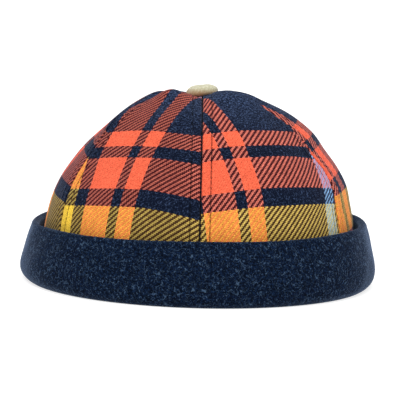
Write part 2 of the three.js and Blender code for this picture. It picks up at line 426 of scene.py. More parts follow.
def twill(tree, cloth):
    """A 2/2 twill of dyed yarns at cloth coordinates: the colours of the yarn on top and of the
    one under it, and how high the yarn on top stands."""
    split = add(tree, "ShaderNodeSeparateXYZ", {0: cloth})
    threads = sum(stripe[1] for stripe in SETT)
    period = threads * THREAD_PITCH
    stops = {"warp": [], "weft": []}
    for column, name in ((1, "warp"), (2, "weft")):
        reached = 0
        for stripe in SETT:
            stops[name].append((reached / threads, linear(YARNS[stripe[0]])))
            reached += stripe[column]

    count = {}
    index = {}
    across = {}
    yarn = {}
    for name, socket, repeat in (("warp", split.outputs[0], period),
                                 ("weft", split.outputs[1], period * WEFT_STRETCH)):
        count[name] = add(tree, "ShaderNodeMath", {0: socket, 1: THREAD_PITCH},
                          operation="DIVIDE")
        index[name] = add(tree, "ShaderNodeMath", {0: count[name]}, operation="FLOOR")
        within = add(tree, "ShaderNodeMath", {0: count[name]}, operation="FRACT")
        half_turn = add(tree, "ShaderNodeMath", {0: within, 1: math.pi}, operation="MULTIPLY")
        across[name] = add(tree, "ShaderNodeMath", {0: half_turn}, operation="SINE")
        middle = add(tree, "ShaderNodeMath", {0: index[name], 1: 0.5}, operation="ADD")
        share = add(tree, "ShaderNodeMath", {0: middle, 1: THREAD_PITCH / repeat},
                    operation="MULTIPLY")
        wrapped = add(tree, "ShaderNodeMath", {0: share}, operation="FRACT")
        yarn[name] = set_ramp(add(tree, "ShaderNodeValToRGB", {0: wrapped}), stops[name],
                              "CONSTANT")

    # which yarn lies on top: two over, two under, one thread further on each row
    diagonal = add(tree, "ShaderNodeMath", {0: index["warp"], 1: index["weft"]},
                   operation="SUBTRACT")
    phase = add(tree, "ShaderNodeMath", {0: diagonal, 1: float(TWILL_REPEAT)},
                operation="FLOORED_MODULO")
    warp_up = add(tree, "ShaderNodeMath", {0: phase, 1: TWILL_REPEAT / 2 - 0.5},
                  operation="LESS_THAN")
    top = add(tree, "ShaderNodeMix", {0: warp_up, 6: yarn["weft"], 7: yarn["warp"]},
              data_type="RGBA")
    under = add(tree, "ShaderNodeMix", {0: warp_up, 6: yarn["warp"], 7: yarn["weft"]},
                data_type="RGBA")

    # each float is round across and dips at both ends, where it goes under
    along = {}
    for name, first, second in (("warp", index["warp"], count["weft"]),
                                ("weft", count["warp"], index["weft"])):
        apart = add(tree, "ShaderNodeMath", {0: first, 1: second}, operation="SUBTRACT")
        begun = add(tree, "ShaderNodeMath", {0: apart, 1: 1.0 if name == "warp" else -2.0},
                    operation="ADD")
        reach = add(tree, "ShaderNodeMath", {0: begun, 1: float(TWILL_REPEAT)},
                    operation="FLOORED_MODULO")
        half_turn = add(tree, "ShaderNodeMath", {0: reach, 1: math.pi / 2},
                        operation="MULTIPLY")
        along[name] = add(tree, "ShaderNodeMath", {0: half_turn}, operation="SINE",
                          use_clamp=True)
    crest_across = add(tree, "ShaderNodeMix",
                       {0: warp_up, 2: across["weft"], 3: across["warp"]}, data_type="FLOAT")
    crest_along = add(tree, "ShaderNodeMix",
                      {0: warp_up, 2: along["weft"], 3: along["warp"]}, data_type="FLOAT")
    crest = add(tree, "ShaderNodeMath", {0: crest_across, 1: crest_along}, operation="MULTIPLY")
    relief = add(tree, "ShaderNodeMath", {0: crest, 1: 0.5}, operation="POWER")
    return top, under, relief


def crossings(tree, top, under, where):
    """The twill's colour with loose fibres of each yarn over the other, painted shade where a dark
    and a bright yarn cross and more of it on the left half, and whether either yarn is bright.
    where gives x, y and z on the cap."""
    bright = {}
    for name, source in (("top", top), ("under", under)):
        light = add(tree, "ShaderNodeRGBToBW", {0: source.outputs[2]})
        bright[name] = add(tree, "ShaderNodeMath", {0: light, 1: BRIGHT_YARN},
                           operation="GREATER_THAN")
    dark_top = add(tree, "ShaderNodeMath", {0: bright["under"], 1: bright["top"]},
                   operation="SUBTRACT", use_clamp=True)
    dark_under = add(tree, "ShaderNodeMath", {0: bright["top"], 1: bright["under"]},
                     operation="SUBTRACT", use_clamp=True)
    both_bright = add(tree, "ShaderNodeMath", {0: bright["top"], 1: bright["under"]},
                      operation="MULTIPLY")
    either_bright = add(tree, "ShaderNodeMath", {0: bright["top"], 1: bright["under"]},
                        operation="MAXIMUM")

    # two bright yarns mingle, and the darker of them shows a little more
    mingle = add(tree, "ShaderNodeMath", {0: both_bright, 1: MINGLE}, operation="MULTIPLY")
    blurred = add(tree, "ShaderNodeMix", {0: mingle, 6: top.outputs[2], 7: under.outputs[2]},
                  data_type="RGBA")
    soft = add(tree, "ShaderNodeMix", {0: mingle, 6: blurred.outputs[2], 7: under.outputs[2]},
               data_type="RGBA", blend_type="DARKEN")

    # a bright yarn shows through a dark one in painted shade, and dark fibres and painted shade
    # lie over a bright one
    shaded_under = add(tree, "ShaderNodeMix",
                       {0: 1.0, 6: under.outputs[2], 7: linear("#5D4B59")},
                       data_type="RGBA", blend_type="MULTIPLY")
    shining_in_shade = add(tree, "ShaderNodeMath", {0: dark_top, 1: SHINE_THROUGH_IN_SHADE}, operation="MULTIPLY")
    sunk = add(tree, "ShaderNodeMix",
               {0: shining_in_shade, 6: soft.outputs[2], 7: shaded_under.outputs[2]}, data_type="RGBA")
    haze_and_shade_share = add(tree, "ShaderNodeMath", {0: dark_under, 1: DARK_HAZE_AND_SHADE}, operation="MULTIPLY")
    hazy_and_shaded = add(tree, "ShaderNodeMix", {0: haze_and_shade_share, 6: sunk.outputs[2], 7: linear("#617070")},
               data_type="RGBA")

    # painted shade: the crossings of navy and a bright yarn are darker on the left half of the cap
    first, last, most = LEFT_HALF_SHADE
    left_shade_share = add(tree, "ShaderNodeMapRange",
                   {0: where.outputs[0], 1: first * MM, 2: last * MM, 3: most, 4: 0.0})
    left_shaded = add(tree, "ShaderNodeMath", {0: dark_under, 1: left_shade_share}, operation="MULTIPLY")
    mixed = add(tree, "ShaderNodeMix", {0: left_shaded, 6: hazy_and_shaded.outputs[2], 7: grey(0.0)},
                data_type="RGBA")
    return mixed, either_bright


def tartan_wool():
    """Brushed wool in a 2/2 twill, dyed in the yarn: diagonal wales, a soft matt nap and
    stripes that are full where warp and weft match and hatched where they cross."""
    material, tree, shader = new_material("tartan_wool_twill", {
        "Roughness": 0.92, "Specular IOR Level": 0.04, "Sheen Weight": 0.14,
        "Sheen Roughness": 0.27, "Sheen Tint": linear("#C4CEF2")})
    cloth = add(tree, "ShaderNodeUVMap", uv_map="cloth")
    place = add(tree, "ShaderNodeTexCoord").outputs["Object"]
    where = add(tree, "ShaderNodeSeparateXYZ", {0: place})

    # the nap draws the yarns' edges a little out of line
    stray = add(tree, "ShaderNodeTexNoise",
                {"Vector": place, "Scale": STRAY_GRAIN, "Detail": 3.0})
    stray_centred = add(tree, "ShaderNodeVectorMath",
                        {0: stray.outputs["Color"], 1: (0.5, 0.5, 0.5)}, operation="SUBTRACT")
    moved = add(tree, "ShaderNodeVectorMath",
                {0: stray_centred, "Scale": 0.9 * THREAD_PITCH}, operation="SCALE")
    cloth_moved = add(tree, "ShaderNodeVectorMath", {0: cloth, 1: moved}, operation="ADD")
    top, under, relief = twill(tree, cloth_moved)
    colour, either_bright = crossings(tree, top, under, where)

    # painted shade between the yarns, uneven dyeing, a tone that drifts over the cloth, painted
    # shade in the seams, where the cloth is turned in, and painted shade in the stitches' grooves
    gap_shade = set_ramp(add(tree, "ShaderNodeValToRGB", {0: relief}),
                         [(0.0, grey(0.55)), (0.75, grey(1.05))])
    fibre = add(tree, "ShaderNodeTexNoise",
                {"Vector": place, "Scale": FIBRE_GRAIN, "Detail": 4.0, "Roughness": 0.7})
    uneven = set_ramp(add(tree, "ShaderNodeValToRGB", {0: fibre.outputs[0]}),
                      [(0.30, grey(0.60)), (0.50, grey(1.0)), (0.70, grey(1.36))])
    drift = add(tree, "ShaderNodeTexNoise",
                {"Vector": place, "Scale": DRIFT_GRAIN, "Detail": 2.0})
    drift_range = set_ramp(add(tree, "ShaderNodeValToRGB", {0: drift.outputs[0]}),
                           [(0.3, grey(0.93)), (0.7, grey(1.05))])
    # painted shade: the cloth darkens where it turns down into the seam and in the stitches'
    # grooves
    seam = add(tree, "ShaderNodeUVMap", uv_map="seam")
    turned_in = add(tree, "ShaderNodeSeparateXYZ", {0: seam})
    seam_shade = set_ramp(add(tree, "ShaderNodeValToRGB", {0: turned_in.outputs[0]}),
                          [(0.20, grey(1.0)), (0.55, linear("#45454B"))])
    stitch_shade = set_ramp(add(tree, "ShaderNodeValToRGB", {0: turned_in.outputs[1]}),
                            [(0.2, grey(1.0)), (1.0, linear("#BCB8B8"))])
    for shade in (gap_shade, uneven, drift_range, seam_shade, stitch_shade):
        colour = add(tree, "ShaderNodeMix",
                     {0: 1.0, 6: colour.outputs[2], 7: shade.outputs[0]},
                     data_type="RGBA", blend_type="MULTIPLY")

    # pale loose fibres, which show on the dark yarns, and more of them towards the top as painted
    # light
    pale = add(tree, "ShaderNodeTexNoise",
               {"Vector": place, "Scale": PALE_GRAIN, "Detail": 3.0, "Roughness": 0.75})
    first, last, more = TOP_LIGHT_SPECKS
    top_light = add(tree, "ShaderNodeMapRange",
                 {0: where.outputs[2], 1: first * MM, 2: last * MM, 3: 0.0, 4: more})
    pale_and_top_light = add(tree, "ShaderNodeMath", {0: pale.outputs[0], 1: top_light}, operation="ADD")
    specks_and_top_light = set_ramp(add(tree, "ShaderNodeValToRGB", {0: pale_and_top_light}),
                           [(0.52, grey(0.0)), (0.66, grey(0.33)), (0.76, grey(0.75))])
    on_dark = add(tree, "ShaderNodeMath", {0: 1.0, 1: either_bright}, operation="SUBTRACT")
    specks_and_top_light_share = add(tree, "ShaderNodeMath", {0: specks_and_top_light.outputs[0], 1: on_dark},
                      operation="MULTIPLY")
    final = add(tree, "ShaderNodeMix",
                {0: specks_and_top_light_share, 6: colour.outputs[2], 7: linear("#566C96")},
                data_type="RGBA")
    tree.links.new(final.outputs[2], shader.inputs["Base Color"])

    woolly = add(tree, "ShaderNodeMath", {0: fibre.outputs[0], 1: 0.8, 2: relief},
                 operation="MULTIPLY_ADD")
    bump = add(tree, "ShaderNodeBump", {"Strength": 0.6, "Distance": 0.25 * MM, "Height": woolly})
    tree.links.new(bump.outputs[0], shader.inputs["Normal"])
    return material


def melton_wool():
    """Milled navy melange wool: felted until no weave shows, with a short nap in which pale and
    dark fibres lie in all directions."""
    material, tree, shader = new_material("navy_melton_wool", {
        "Roughness": 0.95, "Specular IOR Level": 0.03, "Sheen Weight": 0.42,
        "Sheen Roughness": 0.27, "Sheen Tint": linear("#A6BEE6")})
    place = add(tree, "ShaderNodeTexCoord").outputs["Object"]
    # single curled fibres show as thin lines where a field crosses its middle
    hairs = []
    for grain, shift in HAIRS:
        shifted = add(tree, "ShaderNodeVectorMath", {0: place, 1: (shift, shift, shift)},
                      operation="ADD")
        field = add(tree, "ShaderNodeTexNoise",
                    {"Vector": shifted, "Scale": grain, "Detail": 0.0, "Distortion": 0.6})
        off_middle = add(tree, "ShaderNodeMath", {0: field.outputs[0], 1: 0.5},
                         operation="SUBTRACT")
        away = add(tree, "ShaderNodeMath", {0: off_middle}, operation="ABSOLUTE")
        line = set_ramp(add(tree, "ShaderNodeValToRGB", {0: away}),
                        [(0.010, grey(1.0)), (0.034, grey(0.0))])
        piece = add(tree, "ShaderNodeTexNoise",
                    {"Vector": shifted, "Scale": 1.1 * grain, "Detail": 1.0})
        pieces = set_ramp(add(tree, "ShaderNodeValToRGB", {0: piece.outputs[0]}),
                          [(0.52, grey(0.0)), (0.62, grey(1.0))])
        hairs.append(add(tree, "ShaderNodeMath", {0: line.outputs[0], 1: pieces.outputs[0]},
                         operation="MULTIPLY"))
    pair = add(tree, "ShaderNodeMath", {0: hairs[0], 1: hairs[1]}, operation="MAXIMUM")
    hair = add(tree, "ShaderNodeMath", {0: pair, 1: hairs[2]}, operation="MAXIMUM")
    matted = add(tree, "ShaderNodeTexNoise",
                 {"Vector": place, "Scale": FELT_GRAIN, "Detail": 4.0, "Roughness": 0.75})
    felt = set_ramp(add(tree, "ShaderNodeValToRGB", {0: matted.outputs[0]}),
                    [(0.38, linear("#030710")), (0.50, linear("#070F1F")),
                     (0.64, linear("#11233E"))])
    hair_share = add(tree, "ShaderNodeMath", {0: hair, 1: 0.34}, operation="MULTIPLY")
    final = add(tree, "ShaderNodeMix",
                {0: hair_share, 6: felt.outputs[0], 7: linear("#5C7898")}, data_type="RGBA")
    tree.links.new(final.outputs[2], shader.inputs["Base Color"])
    relief = add(tree, "ShaderNodeMath", {0: hair, 1: 0.6, 2: matted.outputs[0]},
                 operation="MULTIPLY_ADD")
    bump = add(tree, "ShaderNodeBump", {"Strength": 0.45, "Distance": 0.3 * MM, "Height": relief})
    tree.links.new(bump.outputs[0], shader.inputs["Normal"])
    return material


def khaki_wool():
    """Undyed khaki wool drawn over the button: matt, fuzzy and a little blotched, and browner
    towards its lower edge from a painted warm reflection and shade."""
    material, tree, shader = new_material("khaki_wool_cloth", {
        "Roughness": 0.95, "Specular IOR Level": 0.15, "Sheen Weight": 0.35,
        "Sheen Roughness": 0.6})
    place = add(tree, "ShaderNodeTexCoord").outputs["Object"]
    blotch = add(tree, "ShaderNodeTexNoise",
                 {"Vector": place, "Scale": BLOTCH_GRAIN, "Detail": 3.0})
    colour = set_ramp(add(tree, "ShaderNodeValToRGB", {0: blotch.outputs[0]}),
                      [(0.30, linear("#9F9A78")), (0.50, linear("#B1AD8E")),
                       (0.70, linear("#C3C0A8"))])
    where = add(tree, "ShaderNodeSeparateXYZ", {0: place})
    height = add(tree, "ShaderNodeMath", {0: blotch.outputs[0], 1: 1.5 * MM, 2: where.outputs[2]},
                 operation="MULTIPLY_ADD")
    # painted reflection and shade: the cloth turns brown towards the button's lower edge
    reflection_below, clear_above = BUTTON_PAINTED_REFLECTION
    unreflected = add(tree, "ShaderNodeMapRange",
                {0: height, 1: (BUTTON_HIGH[2] - reflection_below) * MM,
                 2: (BUTTON_HIGH[2] - clear_above) * MM, 3: 0.0, 4: 1.0})
    shade = add(tree, "ShaderNodeMix",
                {0: unreflected, 6: linear("#A2703E"), 7: colour.outputs[0]}, data_type="RGBA")
    tree.links.new(shade.outputs[2], shader.inputs["Base Color"])
    fuzz = add(tree, "ShaderNodeTexNoise", {"Vector": place, "Scale": FUZZ_GRAIN, "Detail": 2.0})
    bump = add(tree, "ShaderNodeBump",
               {"Strength": 0.6, "Distance": 0.3 * MM, "Height": fuzz.outputs[0]})
    tree.links.new(bump.outputs[0], shader.inputs["Normal"])
    return material


def sewing_thread():
    """Spun sewing thread in near-black navy: matt, with only a faint shine. Deep in the seams it
    also stands in for painted shadow.
    """
    return new_material("spun_sewing_thread", {
        "Base Color": linear("#0B0B12"), "Roughness": 0.8, "Specular IOR Level": 0.08})[0]


# Shapes

def smooth_step(value, low, high):
    """0 below low, 1 above high and smooth between."""
    share = np.clip((value - low) / (high - low), 0.0, 1.0)
    return share * share * (3 - 2 * share)


def catmull_rom(points, steps=48):
    """Centripetal Catmull-Rom curve through the points."""
    points = np.asarray(points, dtype=float)
    ends = (2 * points[0] - points[1], 2 * points[-1] - points[-2])
    padded = np.vstack((ends[0], points, ends[1]))
    curve = [points[0]]
    for a, b, c, d in zip(padded, padded[1:], padded[2:], padded[3:]):
        gaps = [max(np.linalg.norm(q - p) ** 0.5, 1e-4) for p, q in ((a, b), (b, c), (c, d))]
        start = ((b - a) / gaps[0] - (c - a) / (gaps[0] + gaps[1]) + (c - b) / gaps[1]) * gaps[1]
        end = ((c - b) / gaps[1] - (d - b) / (gaps[1] + gaps[2]) + (d - c) / gaps[2]) * gaps[1]
        for step in range(1, steps + 1):
            t = step / steps
            curve.append((2 * t**3 - 3 * t**2 + 1) * b + (t**3 - 2 * t**2 + t) * start
                         + (3 * t**2 - 2 * t**3) * c + (t**3 - t**2) * end)
    return np.array(curve)


def along_curve(curve):
    """Lengths from the start of a curve to each of its points."""
    steps = np.linalg.norm(np.diff(curve, axis=0), axis=1)
    return np.concatenate(([0.0], np.cumsum(steps)))


OUTLINE = catmull_rom(
    [(CROWN_FOOT_FLARE * CROWN_HALF_WIDTH, CROWN_FOOT_HEIGHT, 0.0)]
    + [(radius * CROWN_HALF_WIDTH, height * CROWN_HEIGHT, fuller * CROWN_HALF_WIDTH)
       for height, radius, fuller in CROWN_OUTLINE]
    + [(TIP_RADIUS, CROWN_TIP_HEIGHT * CROWN_HEIGHT, 0.0)])
OUTLINE_LENGTHS = along_curve(OUTLINE)
OUTLINE_LENGTH = OUTLINE_LENGTHS[-1]
RIDGE_CURVE = catmull_rom([(down, out, 0.0) for down, out in RIDGE], 12)
WANDER_CURVES = {seam: catmull_rom([(down, moved, 0.0) for down, moved in wander], 12)
                 for seam, wander in WANDERS.items()}

ELLIPSE_ANGLES = np.linspace(0.0, 2 * math.pi, 2881)
ELLIPSE_LENGTHS = along_curve(np.stack(
    (np.sin(ELLIPSE_ANGLES), -DEPTH_RATIO * np.cos(ELLIPSE_ANGLES)), axis=-1))
ELLIPSE_PERIMETER = ELLIPSE_LENGTHS[-1]


def azimuth_at(around):
    """Azimuth from the front for a share of the way round, at equal lengths on the ellipse."""
    turns = np.floor(around)
    wanted = (around - turns) * ELLIPSE_PERIMETER
    return np.interp(wanted, ELLIPSE_LENGTHS, ELLIPSE_ANGLES) + turns * 2 * math.pi


def outline_at(along):
    """Radius, height and fullness at a share of the outline's length from the lower edge."""
    return [np.interp(along * OUTLINE_LENGTH, OUTLINE_LENGTHS, column) for column in OUTLINE.T]


def crown_surface(around, along, out=0.0):
    """Points of the crown's outer surface."""
    radius, height, fuller = outline_at(along)
    azimuth = azimuth_at(around)
    sine = np.sin(azimuth)
    x = (radius + out) * sine + fuller * sine ** 2
    y = -DEPTH_RATIO * (radius + out) * np.cos(azimuth)
    fade = smooth_step(np.hypot(x, y), *TILT_RANGE)
    return np.stack((x, y, height + x * math.tan(TOP_TILT) * (1 - fade)), axis=-1)


def crown_normal(around, along):
    """Outward unit normals of the crown."""
    step = 2e-3
    across = crown_surface(around + step, along) - crown_surface(around - step, along)
    low = np.maximum(along - step, 0.0)
    high = np.minimum(along + step, 1.0)
    normal = np.cross(across, crown_surface(around, high) - crown_surface(around, low))
    return normal / np.linalg.norm(normal, axis=-1, keepdims=True)


def waves(points, seed, lengths, size):
    """A smooth uneven field: sine waves of the given lengths in seeded directions."""
    random = np.random.default_rng(seed)
    field = np.zeros(points.shape[:-1])
    for length in lengths:
        direction = random.normal(size=3)
        direction *= 2 * math.pi / length / np.linalg.norm(direction)
        field += np.sin(points @ direction + random.uniform(0, 2 * math.pi))
    return field * size / math.sqrt(len(lengths))


def grid_faces(rows, columns, start, closed_columns=False, inward=False):
    """Quads of a grid of points that is stored row by row from a first number."""
    row, column = np.meshgrid(np.arange(rows - 1),
                              np.arange(columns if closed_columns else columns - 1),
                              indexing="ij")
    following = (column + 1) % columns
    corners = [row * columns + column, row * columns + following,
               (row + 1) * columns + following, (row + 1) * columns + column]
    quads = np.stack(corners, axis=-1).reshape(-1, 4) + start
    return quads[:, ::-1] if inward else quads


def shell_faces(rows, columns):
    """Quads of a closed wall between an outer and an inner grid, stored one after the other."""
    size = rows * columns
    outer = np.arange(size).reshape(rows, columns)
    inner = outer + size
    parts = [grid_faces(rows, columns, 0), grid_faces(rows, columns, size, inward=True)]
    for edge_out, edge_in, flip in ((outer[:, 0], inner[:, 0], False),
                                    (outer[:, -1], inner[:, -1], True),
                                    (outer[0], inner[0], True),
                                    (outer[-1], inner[-1], False)):
        strip = np.stack((edge_out[:-1], edge_out[1:], edge_in[1:], edge_in[:-1]), axis=-1)
        parts.append(strip[:, ::-1] if flip else strip)
    return np.vstack(parts)


def make_object(name, points, faces, material, **maps):
    """A smooth mesh object of points in millimetres. maps are UV maps by name, each a pair of
    numbers for every point."""
    mesh = bpy.data.meshes.new(name)
    quads = faces.tolist() if isinstance(faces, np.ndarray) else faces
    mesh.from_pydata((np.asarray(points) * MM).tolist(), [], quads)
    corners = np.empty(len(mesh.loops), dtype=np.int32)
    mesh.loops.foreach_get("vertex_index", corners)
    for map_name, values in maps.items():
        layer = mesh.uv_layers.new(name=map_name)
        layer.data.foreach_set("uv", np.asarray(values)[corners].ravel())
    mesh.shade_smooth()
    mesh.materials.append(material)
    mesh.validate()
    made = bpy.data.objects.new(name, mesh)
    SCENE.collection.objects.link(made)
    return made


def weld(made):
    """Joins points that lie on each other, keeping each corner's cloth coordinates."""
    mesh = bmesh.new()
    mesh.from_mesh(made.data)
    bmesh.ops.remove_doubles(mesh, verts=mesh.verts, dist=1e-3 * MM)
    mesh.to_mesh(made.data)
    mesh.free()


# Crown

def clear_of_cuff(height):
    """0 inside the cuff and 1 well above it."""
    return smooth_step(height, CUFF_INNER_HEIGHT, 2 * CUFF_HEIGHT)


def gore_width(radius):
    """Width of a gore where the crown has a radius."""
    return ELLIPSE_PERIMETER * radius / GORES


def edge_shrink(width):
    """How much the points beside a gore's edges close up where the gore is narrow."""
    return np.minimum(1.0, GORE_EDGE_SHARE * width / GORE_EDGE[-1])


def uneven_cloth(points, number, radius, height):
    """How far a gore's cloth stands out unevenly, above the cuff and away from the button."""
    seed, lengths, size = GORE_WAVES
    field = waves(points, seed + number, lengths, size) + waves(points, *CROWN_WAVES)
    return field * clear_of_cuff(height) * smooth_step(radius, *SMOOTH_ROUND_BUTTON)


def wandered(around, along):
    """Shares round, moved towards the back near the seams that wander."""
    down = (1 - along) * OUTLINE_LENGTH
    shift = 0.0
    for seam, curve in WANDER_CURVES.items():
        moved = np.interp(down, curve[:, 0], curve[:, 1], left=0.0, right=0.0)
        apart = np.minimum(np.abs(around * GORES - seam), 0.5)
        shift = shift + moved * np.cos(apart * math.pi) ** 2
    return around + shift / (ELLIPSE_PERIMETER * outline_at(along)[0])


def gore_grid():
    """Shares of a gore's width and length, distances from the nearer edge and the gore's width,
    on a grid."""
    along = np.linspace(0.0, 1.0, GORE_ROWS)
    radius = outline_at(along)[0]
    width = gore_width(radius)
    shrink = edge_shrink(width)
    left = SEAM_GAP / 2 + GORE_EDGE[None, :] * shrink[:, None]
    middle = np.linspace(0, 1, GORE_MIDDLE + 1)[None, 1:-1]
    middle = left[:, -1:] + (width[:, None] - 2 * left[:, -1:]) * middle
    across = np.hstack((left, middle, (width[:, None] - left)[:, ::-1]))
    distance = (np.minimum(across, width[:, None] - across) - SEAM_GAP / 2) / shrink[:, None]
    share = across / width[:, None]
    return share, np.broadcast_to(along[:, None], share.shape), distance, width[:, None]


def cloth_across_along(offset, along, number):
    """Cloth coordinates of a point at an offset from the gore's middle line."""
    step = 1e-3
    radius = outline_at(along)[0]
    wider = outline_at(np.maximum(along - step, 0))[0] - outline_at(np.minimum(along + step, 1))[0]
    slope = wider / (2 * step * OUTLINE_LENGTH)
    down = (1 - along) * OUTLINE_LENGTH + TIP_RADIUS
    dip = WEFT_DIP * offset ** 2 * slope / (2 * np.maximum(radius, TIP_RADIUS))
    across_cut, along_cut, weft_turn, warp_turn, drawn = CUTS[number]
    gathered = 1 + TIP_GATHER * (1 - smooth_step(down, *TIP_GATHER_RANGE))
    across = (across_cut + offset * gathered / (1 + drawn)
              + math.tan(math.radians(warp_turn)) * (down - CUT_MIDDLE))
    for eased, side, size, middle, reach, low, high in EASED:
        if number == eased:
            across = across + (size * np.exp(-((down - middle) / reach) ** 2)
                               * smooth_step(side * offset, low, high))
    low, high = SAG_OFFSETS
    for sagging, side, size in SAGS:
        if number == sagging:
            share = np.clip((side * offset - low) / (high - low), 0.0, 1.0)
            dip = dip + size * smooth_step(down, *SAG_DOWN) * share ** SAG_GROWTH
    return np.stack((across, along_cut - down + dip
                     + math.tan(math.radians(weft_turn)) * offset), axis=-1)


def gore_base(around, along, share, number):
    """Points of a gore before its seams are turned in: its middle is fuller than its edges,
    one seam may stand out, and all seams are drawn down round the button."""
    radius, height, _ = outline_at(along)
    puff = GORE_PUFF * clear_of_cuff(height) * np.minimum(1.0, radius / CROWN_HALF_WIDTH)
    down = (1 - along) * OUTLINE_LENGTH
    nearer_seam = np.where(share < 0.5, number, (number + 1) % GORES)
    ridge = np.interp(down, RIDGE_CURVE[:, 0], RIDGE_CURVE[:, 1], left=0.0, right=0.0)
    ridge = np.where(nearer_seam == RIDGE_SEAM, ridge, 0.0)
    points = crown_surface(around, along, ridge * (2 * share - 1) ** 2
                           - puff * (1 - np.sin(share * math.pi)))
    flat = points[..., :2] / np.maximum(np.hypot(points[..., 0], points[..., 1]), 1.0)[..., None]
    for x, y, swell_height, reach, reach_up, outwards, up in SWELLS:
        apart = ((points[..., 0] - x) ** 2 + (points[..., 1] - y) ** 2) / reach ** 2
        near = np.exp(-apart - ((points[..., 2] - swell_height) / reach_up) ** 2)
        points[..., :2] += flat * (outwards * near)[..., None]
        points[..., 2] += up * near
    drawn = (GATHER * smooth_step(down, *GATHER_RANGE[:2])
             * (1 - smooth_step(down, *GATHER_RANGE[2:])))
    to_seam = np.minimum(share, 1 - share) * gore_width(radius)
    points[..., 2] -= drawn * np.exp(-(to_seam / GATHER_WIDTH) ** 2)
    return points


def make_gore(number, material):
    """One gore: the cloth turns down into the seam at both edges and comes back inside as the
    allowance, and a line of topstitching draws it down beside each seam."""
    share, along, distance, width = gore_grid()
    radius, height, _ = outline_at(along)
    around = wandered((number + share) / GORES, along)
    offset = (around * GORES - number - 0.5) * width
    base = gore_base(around, along, share, number)
    normal = crown_normal(around, along)

    turned = np.clip(1 - distance / SEAM_ROUND, 0.0, 1.0)
    drop = SEAM_DEPTH * (1 - np.sqrt(1 - turned ** 2))
    band = ALLOWANCE_RISE * (1 - smooth_step(distance, *ALLOWANCE_FADE))
    groove = STITCH_GROOVE * np.exp(-((distance - STITCH_OFFSET) / STITCH_GROOVE_WIDTH) ** 2)
    pucker = PUCKER * np.exp(-(distance / PUCKER_REACH) ** 2) * np.sin(
        2 * math.pi * along * OUTLINE_LENGTH / PUCKER_LENGTH + number)
    uneven = uneven_cloth(base, number, radius, height)
    keep = smooth_step(radius, *SMOOTH_ROUND_BUTTON)
    outer = base + normal * (-drop + (band - groove + pucker) * keep + uneven)[..., None]

    # inside, the allowances of neighbouring gores meet in the seam
    doubled = distance <= ALLOWANCE
    inner_depth = np.where(doubled, 2 * CLOTH, CLOTH) - uneven
    inner_share = share.copy()
    inner_share[:, 0] = 0.0
    inner_share[:, -1] = 1.0
    inside = gore_base(wandered((number + inner_share) / GORES, along), along, inner_share,
                       number)
    inner = inside - normal * inner_depth[..., None]

    side = np.where(offset < 0, -1.0, 1.0)
    returned = offset + 2 * side * np.minimum(share, 1 - share) * width
    inner_offset = np.where(doubled, returned, offset)
    cloth = np.concatenate((
        cloth_across_along(offset, along, number).reshape(-1, 2),
        cloth_across_along(inner_offset, along, number).reshape(-1, 2)))
    points = np.concatenate((outer.reshape(-1, 3), inner.reshape(-1, 3)))
    # masks for the painted shade: how far the cloth has turned down into the seam, and the
    # groove's depth
    sewn = np.stack((drop / SEAM_DEPTH, groove / STITCH_GROOVE), axis=-1).reshape(-1, 2)
    return make_object(f"tartan_gore_{number + 1}", points, shell_faces(*around.shape), material,
                       cloth=cloth, seam=np.concatenate((sewn, np.zeros_like(sewn))))


# Cuff

def crown_radius_at(height):
    """Radius of the crown's outer surface at a height inside the cuff."""
    rising = OUTLINE[:int(np.argmax(OUTLINE[:, 1]))]
    return np.interp(height, rising[:, 1], rising[:, 0])


def cuff_section():
    """The cuff's section as a closed loop of (radius, height): up the outer face, over the rim,
    down into the pocket, up the inner leg and back under the fold."""
    half = CUFF_THICKNESS / 2
    rim_outer = CUFF_HALF_WIDTH - CUFF_FLARE
    rim_radius = rim_outer - half
    foot_normal = crown_normal(np.array([0.0]), np.array([0.0]))[0]
    pocket_floor = CROWN_FOOT_HEIGHT - 2 * CLOTH * foot_normal[2] - CUFF_CLEARANCE
    leg_shoulder = CUFF_INNER_HEIGHT - CUFF_INNER_THICKNESS / 3

    def leg_at(height):
        return crown_radius_at(height) - 2 * CLOTH - CUFF_CLEARANCE

    stand_outer = rim_outer + STAND_OUTER_FLARE * CUFF_FLARE
    stand_inner = stand_outer - STAND_WIDTH
    outer_face = [(rim_outer + flare * CUFF_FLARE, height * CUFF_HEIGHT)
                  for height, flare in reversed(CUFF_OUTLINE)]
    rim = [(rim_radius + half * math.cos(angle), CUFF_HEIGHT - half + half * math.sin(angle))
           for angle in np.linspace(0.0, math.pi, 9)]
    widest = CUFF_OUTLINE[2][0] * CUFF_HEIGHT
    pocket = [(CUFF_HALF_WIDTH - CUFF_THICKNESS, widest),
              (CUFF_HALF_WIDTH - CUFF_THICKNESS - POCKET_CORNER, pocket_floor),
              (leg_at(pocket_floor), pocket_floor)]
    leg = [(leg_at(CUFF_INNER_HEIGHT), leg_shoulder),
           (leg_at(CUFF_INNER_HEIGHT) - CUFF_INNER_THICKNESS / 2, CUFF_INNER_HEIGHT),
           (leg_at(CUFF_INNER_HEIGHT) - CUFF_INNER_THICKNESS, leg_shoulder)]
    leg_inner = leg_at(pocket_floor) - CUFF_INNER_THICKNESS
    fold = [(stand_inner + inset * (leg_inner - stand_inner), height * CUFF_HEIGHT)
            for height, inset in reversed(FOLD_OUTLINE)]
    face = catmull_rom([(stand_outer, 0.0)] + outer_face + rim[:1], 10)
    back = catmull_rom(rim[-1:] + pocket[:1], 10)
    under = catmull_rom(leg[2:] + fold + [(stand_inner, 0.0)], 8)
    loop = np.vstack((face, rim[1:], back[1:], pocket[1:], leg[:2], under))
    loop[:, 1] = np.maximum(loop[:, 1], 0.0)
    return loop, pocket_floor, rim_outer


